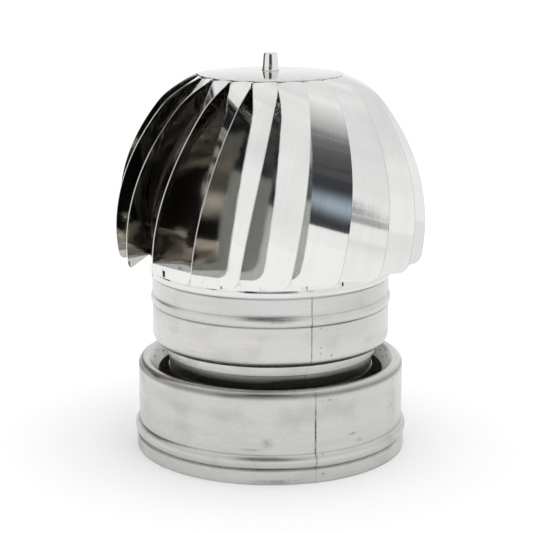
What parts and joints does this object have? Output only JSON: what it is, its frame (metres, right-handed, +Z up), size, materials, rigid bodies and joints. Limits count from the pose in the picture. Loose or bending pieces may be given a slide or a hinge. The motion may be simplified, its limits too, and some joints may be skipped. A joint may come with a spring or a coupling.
{
  "type": "rotating chimney cowl",
  "caption": "Wind-driven chimney cowl: a domed louvred head of curved polished blades turns on a beaded neck above a twin-wall base socket.",
  "frame": {"origin": "centre of the base's lower rim", "axes": "+Z up along the spindle, front of the cowl at -Y"},
  "size_m": [0.2968, 0.2968, 0.3855],
  "materials": {
    "polished_stainless": "mirror-polished stainless sheet",
    "satin_stainless": "satin stainless sheet, handled and lightly stained",
    "plain_steel": "bare turned or bent steel",
    "bearing_steel": "ground bearing steel"
  },
  "bodies": {
    "base": {"base_shell": "satin_stainless", "flue_liner": "satin_stainless", "spacer_brackets": "plain_steel", "neck_collar": "satin_stainless", "bearing_bridge": "bearing_steel", "bearing_housing": "bearing_steel", "upper_outer_ring": "bearing_steel", "lower_outer_ring": "bearing_steel", "housing_circlip": "bearing_steel"},
    "rotor": {"rotor_shaft": "plain_steel", "upper_inner_ring": "bearing_steel", "lower_inner_ring": "bearing_steel", "shaft_circlip": "bearing_steel", "lower_ring": "polished_stainless", "top_disc": "polished_stainless", "backing_washer": "plain_steel", "clamp_nut": "plain_steel", "cap_nut": "polished_stainless", "blade_01": "polished_stainless", "blade_02": "polished_stainless", "blade_03": "polished_stainless", "blade_04": "polished_stainless", "blade_05": "polished_stainless", "blade_06": "polished_stainless", "blade_07": "polished_stainless", "blade_08": "polished_stainless", "blade_09": "polished_stainless", "blade_10": "polished_stainless", "blade_11": "polished_stainless", "blade_12": "polished_stainless", "blade_13": "polished_stainless", "blade_14": "polished_stainless", "blade_15": "polished_stainless", "blade_16": "polished_stainless", "blade_17": "polished_stainless", "blade_18": "polished_stainless", "blade_19": "polished_stainless", "blade_20": "polished_stainless"}
  },
  "joints": [
    {"name": "rotor_spin", "type": "hinge", "parent": "base", "child": "rotor", "pos_m": [0, 0, 0.198], "axis": [0, 0, 1], "continuous": true}
  ]
}
